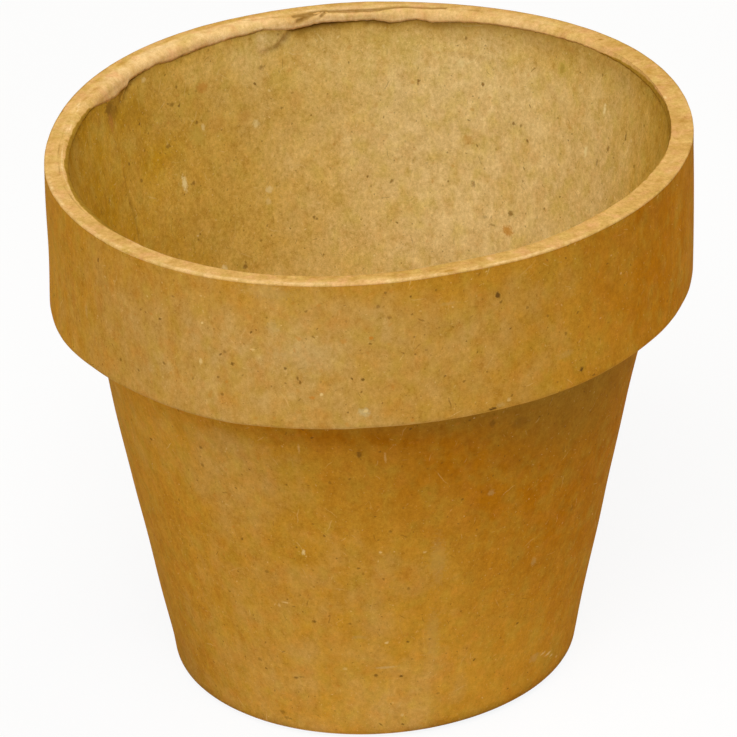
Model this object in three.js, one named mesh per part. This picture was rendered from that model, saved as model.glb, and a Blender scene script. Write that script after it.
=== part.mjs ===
import * as THREE from 'three';

// A cardboard plant pot. Its tapered wall is rolled from two plies of board, a deep collar stands round
// the top, and kraft paper covers it inside and out.
// Millimetres, +Z up. The pot stands on z = 0 and its axis is the Z axis.

// Overall form
const potHeight = 107;
const rimRadius = 60; // covered collar, at the rim
const footRadius = 38.8; // covered wall, where its line meets the ground
const collarHeight = 28.5; // from the rim down to the collar's lower edge
const collarFlare = 0.3; // the collar is this much wider at its lower edge

// Boards
const wallPly = 0.8;
const collarPly = 0.6;
const ringBoard = 1.0;
const baseBoard = 1.6;

// Papers
const wrapPaper = 0.3;
const collarPaper = 0.3;
const edgePaper = 0.3;
const liningPaper = 0.3;
const floorPaper = 0.3;
const undersidePaper = 0.3;

// Fits
const glueFilm = 0.12; // between any two layers that are pasted together
const trimGap = 0.3; // where the cut edge of one paper ends against another

// Folds and edges
const footBend = 1.5; // outer radius of the fold under the foot
const collarBend = 0.9; // outer radius of the fold under the collar
const lipBend = 0.55; // outer radius of the fold over the rim
const lipDepth = 1.9; // how far the edge paper comes down inside
const footTurnIn = 9; // paper turned in under the foot
const liningTurnIn = 6; // lining turned in over the base board
const wrapTuck = 3; // wall paper that runs up behind the collar's ring
const undersideMargin = 1.2; // foot's fold left bare round the underside disc
const rimGrooveWidth = 0.9; // the dip that the joint between the plies leaves in the edge paper
const rimGrooveDepth = 0.12;

// Seams: each rolled sheet meets itself at a narrow slit, and the slits are staggered round the pot
const seamGap = 0.4; // width of a slit at the rim
const seamDegrees = {
  wallOuterPly: 15,
  wallInnerPly: 195,
  collarInnerBand: 120,
  collarOuterBand: 300,
  wallWrap: 282,
  collarWrap: 60,
  rimEdge: 150,
  lining: 228,
};

// Facets round the pot, and along each fold
const facets = 96;
const foldSteps = 3;

// Heights that the layers give, from the ground up
const wrapUnderFoot = undersidePaper + glueFilm;
const boardBottom = wrapUnderFoot + wrapPaper + glueFilm;
const boardTop = potHeight - edgePaper - glueFilm;
const baseTop = boardBottom + baseBoard;
const collarBottom = potHeight - collarHeight;
const ringBottom = collarBottom + collarPaper + glueFilm;
const ringTop = ringBottom + ringBoard;
const bandBottom = ringTop + glueFilm;
const wrapTop = ringTop + wrapTuck;

// Depths of the layers below the collar's covered face
const outerBandFace = collarPaper + glueFilm;
const innerBandFace = outerBandFace + collarPly + glueFilm;
const collarInside = innerBandFace + collarPly;

// Depths of the layers below the bare face of the wall's outer ply
const wrapBack = -glueFilm;
const wrapFace = -glueFilm - wrapPaper;
const innerPlyFace = wallPly + glueFilm;
const liningBack = innerPlyFace + wallPly + glueFilm;
const liningFace = liningBack + liningPaper;
const lipBack = liningFace + glueFilm;
const lipFace = lipBack + edgePaper;

// The wall leans out from the foot until its outer ply meets the collar's inner band at the rim
const bareFootRadius = footRadius + wrapFace;
const bareRimRadius = collarRadius(boardTop, collarInside + glueFilm);
const wallLean = Math.atan2(bareRimRadius - bareFootRadius, boardTop);

function collarRadius(z, depth) {
  const drop = (potHeight - z) / collarHeight;
  return rimRadius + collarFlare * drop - depth;
}

function wallRadius(z, depth) {
  return bareFootRadius + z * Math.tan(wallLean) - depth / Math.cos(wallLean);
}

function point(r, z) {
  return new THREE.Vector2(r, z);
}

// Points along an arc, from one angle to another
function arc(center, radius, fromAngle, toAngle) {
  const points = [];
  for (let i = 0; i <= foldSteps; i += 1) {
    const angle = THREE.MathUtils.lerp(fromAngle, toAngle, i / foldSteps);
    points.push(point(center.x + radius * Math.cos(angle), center.y + radius * Math.sin(angle)));
  }
  return points;
}

// A line moved sideways by a distance, to the left of its direction, with its corners kept sharp
function offsetPath(path, distance) {
  const leftOf = (a, b) => {
    const along = b.clone().sub(a).normalize();
    return point(-along.y, along.x);
  };
  return path.map((corner, i) => {
    const before = i > 0 ? leftOf(path[i - 1], corner) : leftOf(corner, path[i + 1]);
    const after = i < path.length - 1 ? leftOf(corner, path[i + 1]) : before;
    const side = before.clone().add(after).normalize();
    return corner.clone().addScaledVector(side, distance / side.dot(after));
  });
}

// The outline of a sheet: its back face, then its front face on the way home
function sheetOutline(back, front) {
  return [...back, ...front.slice().reverse()];
}

// A whole ring or disc, turned about the Z axis
function turned(outline) {
  const onAxis = outline[0].x === 0;
  const path = THREE.ShapeUtils.isClockWise(outline) ? outline.slice().reverse() : outline;
  const closed = onAxis ? path : [...path, path[0]];
  return new THREE.LatheGeometry(closed, facets).rotateX(Math.PI / 2);
}

// A sheet rolled round the Z axis whose two ends meet at a slit
function rolled(outline, seam) {
  const path = THREE.ShapeUtils.isClockWise(outline) ? outline.slice().reverse() : outline;
  const slit = seamGap / rimRadius;
  const start = THREE.MathUtils.degToRad(seam) + slit / 2;
  const count = path.length;
  const positions = [];
  for (let i = 0; i <= facets; i += 1) {
    const angle = start + (2 * Math.PI - slit) * (i / facets);
    path.forEach((p) => positions.push(p.x * Math.cos(angle), p.x * Math.sin(angle), p.y));
  }
  const index = [];
  for (let i = 0; i < facets; i += 1) {
    for (let k = 0; k < count; k += 1) {
      const near = i * count + k;
      const nearNext = i * count + ((k + 1) % count);
      index.push(near, near + count, nearNext);
      index.push(nearNext, near + count, nearNext + count);
    }
  }
  THREE.ShapeUtils.triangulateShape(path, []).forEach(([a, b, c]) => {
    const last = facets * count;
    index.push(a, b, c);
    index.push(last + a, last + c, last + b);
  });
  const geometry = new THREE.BufferGeometry();
  geometry.setAttribute('position', new THREE.Float32BufferAttribute(positions, 3));
  geometry.setIndex(index);
  geometry.computeVertexNormals();
  return geometry;
}

// A flat disc between two heights
function disc(radius, bottom, top) {
  return turned([point(0, bottom), point(radius, bottom), point(radius, top), point(0, top)]);
}

// The fold under the foot: every layer that goes round it shares one centre
function footFold(depth) {
  const radius = footBend - wrapPaper + wrapBack - depth;
  const centerZ = boardBottom + footBend - wrapPaper - glueFilm;
  const centerR = wallRadius(centerZ, depth) - radius / Math.cos(wallLean);
  return { center: point(centerR, centerZ), radius };
}

function wallOuterPly() {
  const fold = footFold(0);
  const cutIn = Math.acos(Math.max(0, fold.radius - wallPly) / fold.radius);
  const endAngle = Math.max(-wallLean - cutIn, -Math.PI / 2);
  const corner = arc(fold.center, fold.radius, -wallLean, endAngle);
  const outline = [point(wallRadius(boardTop, 0), boardTop), ...corner];
  if (wallPly > fold.radius) {
    outline.push(point(wallRadius(boardBottom, wallPly), boardBottom));
  }
  outline.push(point(wallRadius(boardTop, wallPly), boardTop));
  return rolled(outline, seamDegrees.wallOuterPly);
}

function wallInnerPly() {
  const outside = [point(wallRadius(boardTop, innerPlyFace), boardTop)];
  outside.push(point(wallRadius(boardBottom, innerPlyFace), boardBottom));
  const inside = [point(wallRadius(boardTop, innerPlyFace + wallPly), boardTop)];
  inside.push(point(wallRadius(boardBottom, innerPlyFace + wallPly), boardBottom));
  return rolled(sheetOutline(outside, inside), seamDegrees.wallInnerPly);
}

function baseDisc() {
  return disc(wallRadius(boardBottom, liningBack), boardBottom, baseTop);
}

function collarBand(face, seam) {
  const outside = [point(collarRadius(boardTop, face), boardTop)];
  outside.push(point(collarRadius(bandBottom, face), bandBottom));
  const inside = [point(collarRadius(boardTop, face + collarPly), boardTop)];
  inside.push(point(collarRadius(bandBottom, face + collarPly), bandBottom));
  return rolled(sheetOutline(outside, inside), seam);
}

// The fold under the collar, shared by the ring's rounded corner and the paper
function collarFold(depth) {
  const radius = Math.max(collarBend - depth, 0.05);
  const centerR = collarRadius(collarBottom, collarBend);
  return { center: point(centerR, collarBottom + collarBend), radius };
}

function collarFloorRing() {
  const fold = collarFold(outerBandFace);
  const holeRadius = wallRadius(ringTop, wrapFace - glueFilm);
  const outline = [point(holeRadius, ringTop), point(holeRadius, ringBottom)];
  outline.push(...arc(fold.center, fold.radius, -Math.PI / 2, 0));
  outline.push(point(collarRadius(ringTop, outerBandFace), ringTop));
  return turned(outline);
}

function wallWrapPaper() {
  const fold = footFold(wrapBack);
  const back = [point(wallRadius(wrapTop, wrapBack), wrapTop)];
  back.push(...arc(fold.center, fold.radius, -wallLean, -Math.PI / 2));
  back.push(point(fold.center.x - footTurnIn, fold.center.y - fold.radius));
  return rolled(sheetOutline(back, offsetPath(back, wrapPaper)), seamDegrees.wallWrap);
}

function collarWrapPaper() {
  const fold = collarFold(collarPaper);
  const turnInRadius = wallRadius(collarBottom + collarPaper, wrapFace) + trimGap;
  const back = [point(collarRadius(boardTop, collarPaper), boardTop)];
  back.push(...arc(fold.center, fold.radius, 0, -Math.PI / 2));
  back.push(point(turnInRadius, collarBottom + collarPaper));
  return rolled(sheetOutline(back, offsetPath(back, collarPaper)), seamDegrees.collarWrap);
}

// The strip over the rim: flat on the layered edge, dipped over the joint between the plies,
// then folded down inside the pot as a lip
function rimEdgePaper() {
  const backZ = boardTop + glueFilm;
  const backBend = lipBend - edgePaper;
  const centerZ = backZ - backBend;
  const centerR = wallRadius(centerZ, lipBack) + backBend / Math.cos(wallLean);
  const lipBottom = potHeight - lipDepth;
  const grooveRadius = wallRadius(boardTop, wallPly + glueFilm / 2);
  const halfGroove = rimGrooveWidth / 2;
  const fold = { from: Math.PI / 2, to: Math.PI - wallLean };

  const back = [point(rimRadius, backZ)];
  back.push(...arc(point(centerR, centerZ), backBend, fold.from, fold.to));
  back.push(point(wallRadius(lipBottom, lipBack), lipBottom));

  const front = [point(rimRadius, potHeight)];
  front.push(point(grooveRadius + halfGroove, potHeight));
  front.push(point(grooveRadius, potHeight - rimGrooveDepth));
  front.push(point(grooveRadius - halfGroove, potHeight));
  front.push(...arc(point(centerR, centerZ), lipBend, fold.from, fold.to));
  front.push(point(wallRadius(lipBottom, lipFace), lipBottom));
  return rolled(sheetOutline(back, front), seamDegrees.rimEdge);
}

function liningSheet() {
  const floorZ = baseTop + glueFilm;
  const cornerRadius = wallRadius(floorZ, liningBack);
  const back = [point(wallRadius(boardTop, liningBack), boardTop), point(cornerRadius, floorZ)];
  back.push(point(cornerRadius - liningTurnIn, floorZ));
  const front = offsetPath(back, -liningPaper);
  front[0].copy(point(wallRadius(boardTop, liningFace), boardTop));
  return rolled(sheetOutline(back, front), seamDegrees.lining);
}

function floorDisc() {
  const bottom = baseTop + glueFilm + liningPaper + glueFilm;
  return disc(wallRadius(bottom, liningFace) - trimGap, bottom, bottom + floorPaper);
}

function undersideDisc() {
  const fold = footFold(wrapBack);
  return disc(fold.center.x - undersideMargin, 0, undersidePaper);
}

function matte(color, roughness) {
  return new THREE.MeshStandardMaterial({ color, roughness, metalness: 0, side: THREE.FrontSide });
}

const board = matte(0x9c7c4a, 0.92);
const outerKraft = matte(0xb07f30, 0.84);
const innerKraft = matte(0xbd9550, 0.86);
const edgeKraft = matte(0xe0b56d, 0.82);

const pot = new THREE.Group();

function add(name, geometry, material) {
  const piece = new THREE.Mesh(geometry, material);
  piece.name = name;
  pot.add(piece);
}

add('wall_outer_ply', wallOuterPly(), board);
add('wall_inner_ply', wallInnerPly(), board);
add('base_board', baseDisc(), board);
add('collar_floor_ring', collarFloorRing(), board);
add('collar_inner_band', collarBand(innerBandFace, seamDegrees.collarInnerBand), board);
add('collar_outer_band', collarBand(outerBandFace, seamDegrees.collarOuterBand), board);
add('wall_wrap_paper', wallWrapPaper(), outerKraft);
add('collar_wrap_paper', collarWrapPaper(), outerKraft);
add('rim_edge_paper', rimEdgePaper(), edgeKraft);
add('lining_paper', liningSheet(), innerKraft);
add('floor_paper', floorDisc(), innerKraft);
add('underside_paper', undersideDisc(), outerKraft);

export default pot;
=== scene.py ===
import math

import bmesh
import bpy
import numpy as np
from mathutils import Matrix, Vector


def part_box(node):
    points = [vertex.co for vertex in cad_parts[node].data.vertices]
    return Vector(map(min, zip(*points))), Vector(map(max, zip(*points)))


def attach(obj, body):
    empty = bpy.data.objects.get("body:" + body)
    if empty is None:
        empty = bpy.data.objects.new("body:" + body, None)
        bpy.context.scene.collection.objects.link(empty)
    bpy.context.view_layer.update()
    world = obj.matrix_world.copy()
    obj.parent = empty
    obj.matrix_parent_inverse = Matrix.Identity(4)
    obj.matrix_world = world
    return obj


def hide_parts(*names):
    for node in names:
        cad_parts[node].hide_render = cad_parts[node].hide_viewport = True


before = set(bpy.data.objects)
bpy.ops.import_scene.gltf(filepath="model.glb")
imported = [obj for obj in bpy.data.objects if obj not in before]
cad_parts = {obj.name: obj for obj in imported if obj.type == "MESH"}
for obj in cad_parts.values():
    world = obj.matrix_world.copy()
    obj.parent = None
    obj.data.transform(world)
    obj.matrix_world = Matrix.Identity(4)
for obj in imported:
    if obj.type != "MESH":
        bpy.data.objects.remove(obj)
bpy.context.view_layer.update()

mm = 0.001
fullTurn = 2 * math.pi
print("frame loaded:", len(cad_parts), "pieces")


# Sizes, read from the pot itself

def pointsOf(node):
    return [v.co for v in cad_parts[node].data.vertices]


def ringRadii(node, height):
    radii = [math.hypot(c.x, c.y) for c in pointsOf(node) if abs(c.z - height) < 0.02 * mm]
    return min(radii), max(radii)


edgeLow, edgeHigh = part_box("rim_edge_paper")
collarLow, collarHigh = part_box("collar_wrap_paper")
wrapLow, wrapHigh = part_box("wall_wrap_paper")
underLow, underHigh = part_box("underside_paper")
liningLevels = sorted({round(c.z, 6) for c in pointsOf("lining_paper")})

potHeight = edgeHigh.z
rimRadius = ringRadii("rim_edge_paper", potHeight)[1]
boardTop = collarHigh.z
collarFoot = collarLow.z
collarFlare = 0.3 * mm  # how much wider the collar's paper is at its lower edge
collarTurnIn = ringRadii("collar_wrap_paper", collarFoot)[0]
paperThickness = underHigh.z - underLow.z
liningTop = liningLevels[-1]
liningCorner = liningLevels[1]
liningTopRadius = ringRadii("lining_paper", liningTop)[0]
liningFlange, liningCornerRadius = ringRadii("lining_paper", liningCorner)
wallSlope = (liningTopRadius - liningCornerRadius) / (liningTop - liningCorner)
wrapTurnIn = ringRadii("wall_wrap_paper", wrapLow.z)[0]


def coneAtGround(node, lowest, pick):
    return pick(math.hypot(c.x, c.y) - wallSlope * c.z for c in pointsOf(node) if c.z > lowest)


wrapCone = coneAtGround("wall_wrap_paper", 40 * mm, max)
lipCone = coneAtGround("rim_edge_paper", 0, min)
liningCone = coneAtGround("lining_paper", 40 * mm, min)


def wrapRadius(z):
    return wrapCone + wallSlope * z


def liningRadius(z):
    return liningCone + wallSlope * z


def lipRadius(z):
    return lipCone + wallSlope * z


def collarRadius(z):
    return rimRadius + collarFlare * (potHeight - z) / (potHeight - collarFoot)


# Camera, at the photograph's viewing angle

cameraSettings = {
    "place": (-0.393 * mm, -832.4 * mm, 505.9 * mm),
    "lookDown": 28.283,  # degrees
    "roll": -3.280,
    "focalPixels": 5000,
    "imagePixels": 737,
    "sensor": 36,
    "clip": (0.01, 50),
}


def placed(name, data):
    thing = bpy.data.objects.new(name, data)
    bpy.context.scene.collection.objects.link(thing)
    return thing


def makeCamera(s):
    data = bpy.data.cameras.new("potCamera")
    data.sensor_width = s["sensor"]
    data.lens = s["focalPixels"] / s["imagePixels"] * s["sensor"]
    data.clip_start, data.clip_end = s["clip"]
    camera = placed("potCamera", data)
    tilt = Matrix.Rotation(math.radians(90 - s["lookDown"]), 4, "X")
    roll = Matrix.Rotation(math.radians(s["roll"]), 4, "Z")
    camera.matrix_world = Matrix.Translation(s["place"]) @ tilt @ roll
    bpy.context.scene.camera = camera


makeCamera(cameraSettings)
print("camera placed")


# Light and floor

lightSettings = {
    "lamps": {  # place, size, power, colour
        "keySoftbox": ((-0.13, -0.81, 1.31), 0.9, 19.5, (0.98, 1, 1)),
        "mouthSoftbox": ((0.84, 0.48, 1.2), 0.9, 7.5, (1, 0.88, 0.7)),  # from behind, down into the mouth
        "sideSoftbox": ((-1.41, 0, 0.56), 0.9, 3.3, (1, 0.86, 0.68)),
    },
    "world": 0.12,
    "worldColor": (1, 0.88, 0.7),
}


def emptyTree(owner):
    owner.use_nodes = True
    owner.node_tree.nodes.clear()
    return owner.node_tree


# a shader node and what feeds its sockets: numbers, colours, vectors or other nodes' outputs
def addNode(tree, kind, feeds, **settings):
    node = tree.nodes.new("ShaderNode" + kind)
    for key, value in settings.items():
        setattr(node, key, value)
    for name, value in feeds.items():
        socket = node.inputs[name]
        if isinstance(value, bpy.types.NodeSocket):
            tree.links.new(value, socket)
        elif socket.type == "RGBA":
            socket.default_value = (*value, 1)
        else:
            socket.default_value = value
    return node.outputs


def makeLight(s):
    for name, (place, size, power, color) in s["lamps"].items():
        data = bpy.data.lights.new(name, "AREA")
        data.size = size
        data.energy = power
        data.color = color
        aim = Vector((0, 0, potHeight / 2)) - Vector(place)
        facing = aim.to_track_quat("-Z", "Y").to_matrix().to_4x4()
        placed(name, data).matrix_world = Matrix.Translation(place) @ facing
    world = bpy.data.worlds.new("studio")
    bpy.context.scene.world = world
    tree = emptyTree(world)
    soft = addNode(tree, "Background", {"Color": s["worldColor"], "Strength": s["world"]})
    white = addNode(tree, "Background", {"Color": (1, 1, 1), "Strength": 1})
    toCamera = addNode(tree, "LightPath", {})["Is Camera Ray"]
    both = addNode(tree, "MixShader", {0: toCamera, 1: soft[0], 2: white[0]})
    addNode(tree, "OutputWorld", {0: both[0]})


makeLight(lightSettings)

floorSettings = {
    "radius": 4,
    "color": (0.92, 0.92, 0.92),
    "whiteShare": 0.9,  # how far the camera sees plain white over the shaded floor and its shadow
}


def meshFrom(name, shape):
    mesh = bpy.data.meshes.new(name)
    shape.to_mesh(mesh)
    shape.free()
    return mesh


def makeFloor(s):
    shape = bmesh.new()
    bmesh.ops.create_circle(shape, cap_ends=True, segments=64, radius=s["radius"])
    floor = placed("studioFloor", meshFrom("studioFloor", shape))
    material = bpy.data.materials.new("paleFloor")
    tree = emptyTree(material)
    matte = addNode(tree, "BsdfDiffuse", {"Color": s["color"]})
    white = addNode(tree, "Emission", {"Color": (1, 1, 1)})
    toCamera = addNode(tree, "LightPath", {})["Is Camera Ray"]
    share = addNode(tree, "Math", {0: toCamera, 1: s["whiteShare"]}, operation="MULTIPLY")
    both = addNode(tree, "MixShader", {0: share[0], 1: matte[0], 2: white[0]})
    addNode(tree, "OutputMaterial", {"Surface": both[0]})
    floor.data.materials.append(material)


makeFloor(floorSettings)
view = bpy.context.scene.view_settings
view.view_transform = "Standard"
print("light and floor ready")


# Measures that many pieces share

def unit(x):  # held between 0 and 1
    return np.clip(x, 0, 1)


def eased(x):
    x = unit(x)
    return x * x * (3 - 2 * x)


def bell(*away):
    return np.exp(-sum(a * a for a in away))


def wrapped(angle):
    return (angle + math.pi) % fullTurn - math.pi


def turnFrom(degrees, turn):  # the angle from a place on the pot, in radians
    return wrapped(turn - math.radians(degrees))


def byDegrees(turn, rows, column=1):  # a table that starts each row with degrees round the pot
    return np.interp(np.degrees(turn) % 360, [row[0] for row in rows], [row[column] for row in rows])


def spotsOn(turn, height, spots, perRadian=math.degrees(1)):
    total = np.zeros_like(turn)
    for degrees, width, level, reach, amount in spots:
        total += amount * bell(turnFrom(degrees, turn) * perRadian / width, (height / mm - level) / reach)
    return total


# The hand-made form: the pot leans a little, its mouth isn't quite round and its edges rise and dip

handMade = {
    "lean": 0.03566,  # sideways per height
    "leanPivot": 53.5 * mm,
    "wallMiddle": 2 * mm,  # outside the lining's face
    "mouthShape": {1: (0.1, 0.02), 2: (-0.51, -0.05), 3: (0.31, -0.05)},  # turns: (cos, sin), millimetres
    "rimWave": {1: (0.06, 0.02), 2: (0.05, -0.33), 3: (-0.01, 0.43)},
    "collarWave": {1: (-0.12, 0.02), 2: (-0.19, 0.06), 3: (-0.31, 0.37)},
    "bumps": [  # degrees, half width, height and reach in millimetres, outward and upward in millimetres
        (190, 17, 104, 14, 0.82, 0), (197, 12, 78, 9, 0.75, -0.3), (160, 15, 107, 20, 0.1, 0),
        (92, 11, 107, 8, 0.42, 0), (35, 17, 107, 30, 0.2, 0), (352, 8, 95, 30, 0.18, 0),
        (285, 9, 107, 12, 0, 0.22), (321, 16, 107, 12, 0, 0.25), (243, 12, 78.5, 9, 0, -0.6),
        (262, 14, 78.5, 9, 0, -0.6), (283, 14, 78.5, 9, 0, -0.6), (304, 13, 78.5, 9, 0, -0.75),
        (356, 14, 30, 26, -0.4, 0), (356, 12, 6, 9, -0.28, 0), (318, 22, 2, 10, 0.25, 0),
        (181, 16, 8, 8, -0.22, 0), (181, 16, 48, 18, 0.2, 0), (355, 10, 58, 8, -0.25, 0),
    ],
}


def waves(table, angle):
    total = np.zeros_like(angle)
    for turns, (c, s) in table.items():
        total += c * np.cos(turns * angle) + s * np.sin(turns * angle)
    return total * mm


def shapeByHand(points):
    s = handMade
    x, y, z = np.array(points, float).T
    angle = np.arctan2(y, x)
    radius = np.hypot(x, y)
    outward = unit(radius / (liningRadius(z) + s["wallMiddle"]))  # the middle of the base keeps still
    rise = np.clip(z / potHeight, 0, 1.2)
    upper = np.clip((z - collarFoot) / (potHeight - collarFoot), 0, 1.2)
    edgeWave = waves(s["collarWave"], angle) * (1 - upper) + waves(s["rimWave"], angle) * upper
    radius = radius + waves(s["mouthShape"], angle) * rise * outward
    lift = edgeWave * unit(z / collarFoot) ** 2 * outward ** 2
    for degrees, width, level, reach, out, up in s["bumps"]:
        weight = bell(np.degrees(turnFrom(degrees, angle)) / width, (z / mm - level) / reach)
        weight = weight * outward ** 2 * mm
        radius = radius + out * weight
        lift = lift + up * weight
    shift = s["lean"] * (z - s["leanPivot"])
    return np.stack([radius * np.cos(angle) + shift, radius * np.sin(angle), z + lift], 1)


# Helpers for sheets of paper

def roundedPath(corners, bends, step):
    corners = [np.array(corner, float) for corner in corners]
    points = [corners[0]]
    for before, here, after, bend in zip(corners, corners[1:], corners[2:], bends):
        toBefore = (before - here) / np.linalg.norm(before - here)
        toAfter = (after - here) / np.linalg.norm(after - here)
        half = math.acos(np.clip(toBefore @ toAfter, -1, 1)) / 2
        middle = toBefore + toAfter
        center = here + middle / np.linalg.norm(middle) * bend / math.sin(half)
        start = here + toBefore * bend / math.tan(half) - center
        end = here + toAfter * bend / math.tan(half) - center
        first = math.atan2(start[1], start[0])
        turn = wrapped(math.atan2(end[1], end[0]) - first)
        steps = max(3, int(abs(turn) * bend / (0.6 * step)) + 1)
        for k in range(steps + 1):
            a = first + turn * k / steps
            points.append(center + bend * np.array([math.cos(a), math.sin(a)]))
    points.append(corners[-1])
    dense = [points[0]]
    for a, b in zip(points[:-1], points[1:]):
        count = max(1, int(np.linalg.norm(b - a) / step + 0.5))
        dense += [a + (b - a) * k / count for k in range(1, count + 1)]
    return np.array(dense)


def straightPath(start, end, step):
    count = max(2, int(math.dist(start, end) / step) + 1)
    return np.linspace(start, end, count)


def pathNormals(path, side):
    along = np.gradient(path, axis=0)
    along /= np.linalg.norm(along, axis=1)[:, None]
    return side * np.stack([-along[:, 1], along[:, 0]], 1)


def pathLength(path):
    steps = np.linalg.norm(np.diff(path, axis=0), axis=1)
    return np.concatenate([[0], np.cumsum(steps)])


# front and back of a wrap that is turned in at its foot, as paths of radius and height
def wrapPaths(s, topRadius, top, lowRadius, low, turnIn, slope=0):
    t = paperThickness
    outer = [(topRadius, top), (lowRadius, low), (turnIn, low)]
    inner = [(topRadius - t, top), (lowRadius + slope * t - t, low + t), (turnIn, low + t)]
    return roundedPath(outer, [s["bend"]], s["step"]), roundedPath(inner, [s["bend"] - t], s["backStep"])


# soft, seeded unevenness between -1 and 1, in cells of a size in millimetres at a radius
def lattice(turn, along, size, radius, seed):
    size = size * mm
    cells = max(4, int(round(fullTurn * radius / size)))
    rows = int(np.max(along) / size) + 4
    table = np.random.default_rng(seed).uniform(-1, 1, (cells, rows))
    a = (turn / fullTurn) % 1 * cells
    b = along / size + 1
    i = np.floor(a).astype(int)
    j = np.floor(b).astype(int)
    fa = eased(a - i)
    fb = eased(b - j)
    low = table[i % cells, j] * (1 - fa) + table[(i + 1) % cells, j] * fa
    high = table[i % cells, j + 1] * (1 - fa) + table[(i + 1) % cells, j + 1] * fa
    return low * (1 - fb) + high * fb


def pastedPaper(s, turn, along):
    lumps = lattice(turn, along, s["lumpSize"], s["middle"], s["seed"])
    dimples = lattice(turn, along * s["dimpleSquash"], s["dimpleSize"], s["middle"], s["seed"] + 1)
    return lumps * s["lump"] + dimples * s["dimple"]


def columnAngles(count, start, sweep, fine=()):
    base = np.linspace(0, 1, 4001)
    density = np.ones_like(base)
    for degrees, width, factor in fine:
        away = (np.degrees(start) + base * np.degrees(sweep) - degrees + 180) % 360 - 180
        density += (factor - 1) * bell(away / width)
    total = np.concatenate([[0], np.cumsum((density[1:] + density[:-1]) / 2)])
    return start + sweep * np.interp(np.linspace(0, total[-1], count + 1), total, base)


def buildSheet(name, front, back, closed):
    outline = np.concatenate([front, back[:, ::-1]], 1)
    columns, count = outline.shape[:2]
    shape = bmesh.new()
    verts = [shape.verts.new(p) for p in shapeByHand(outline.reshape(-1, 3))]
    for i in range(columns if closed else columns - 1):
        n = (i + 1) % columns
        for k in range(count):
            m = (k + 1) % count
            corners = (i * count + k, n * count + k, n * count + m, i * count + m)
            shape.faces.new([verts[c] for c in corners])
    if not closed:
        ends = [shape.faces.new(verts[:count]), shape.faces.new(verts[-count:][::-1])]
        bmesh.ops.triangulate(shape, faces=ends)
    bmesh.ops.recalc_face_normals(shape, faces=shape.faces[:])
    mesh = meshFrom(name, shape)
    mesh.shade_smooth()
    mesh.set_sharp_from_angle(angle=math.radians(50))
    return placed(name, mesh)


def lineAway(turn, height, radius, points):  # millimetres from a line drawn on the paper
    nearest = np.full(turn.shape, np.inf)
    for (degrees0, level0), (degrees1, level1) in zip(points[:-1], points[1:]):
        u = turnFrom(degrees0, turn) * radius / mm
        v = height / mm - level0
        du = math.radians(degrees1 - degrees0) * radius / mm
        dv = level1 - level0
        t = unit((u * du + v * dv) / (du * du + dv * dv))
        nearest = np.minimum(nearest, np.hypot(u - t * du, v - t * dv))
    return nearest


# a dark line along each crease: painted shade, with some dirt
def creases(turn, height, radius, rows):
    rise = stainAndShade = 0
    for *ends, width, up, dark in rows:
        line = bell(lineAway(turn, height, radius, [ends[:2], ends[2:]]) / width)
        rise = rise + line * up
        stainAndShade = stainAndShade + line * dark
    return rise, stainAndShade


def pleat(turn, height, radius, s):
    corners = [(math.radians(d) * radius / mm, level) for d, level in s["corners"]]
    middle = s["corners"][0][0]
    u = (turnFrom(middle, turn) + math.radians(middle)) * radius / mm
    v = height / mm
    rise = s["rise"]
    for (u0, v0), (u1, v1), soft in zip(corners, corners[1:] + corners[:1], s["soft"]):
        inside = ((u1 - u0) * (v - v0) - (v1 - v0) * (u - u0)) / math.hypot(u1 - u0, v1 - v0)
        rise = rise * eased(inside / soft)
    return rise


def store(piece, name, domain, kind, key, values):
    old = piece.data.attributes.get(name)
    if old:
        piece.data.attributes.remove(old)
    facts = piece.data.attributes.new(name, kind, domain)
    facts.data.foreach_set(key, values.astype(np.float32).ravel())


def storePlaces(piece, place, girth=0):
    loops = np.empty(len(piece.data.loops), int)
    piece.data.loops.foreach_get("vertex_index", loops)
    corners = place[loops]
    if girth:  # the last column of faces ends a full girth from where the first one starts
        rows = int(np.count_nonzero(place[:, 0] == place[0, 0]))
        lastSpan = np.arange(len(loops)) >= len(loops) - 4 * rows
        corners[lastSpan & (loops < rows), 0] += girth
    store(piece, "paperPlace", "CORNER", "FLOAT_VECTOR", "vector", corners)


# the part of a path beyond its pivot grows or shrinks, column by column
def stretchedPath(path, length, pivot, reach):
    pivot = pivot * length[-1]
    share = (length[-1] - pivot + reach) / (length[-1] - pivot)
    at = np.where(length > pivot, pivot + (length - pivot) * share[:, None], length)
    tip = (path[-1] - path[-2]) / (length[-1] - length[-2])
    over = np.clip(at - length[-1], 0, None)
    return [np.interp(at, length, path[:, k]) + over * tip[k] for k in (0, 1)]


def around(r, turn, z):
    return np.stack([r * np.cos(turn), r * np.sin(turn), z], -1)


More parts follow.
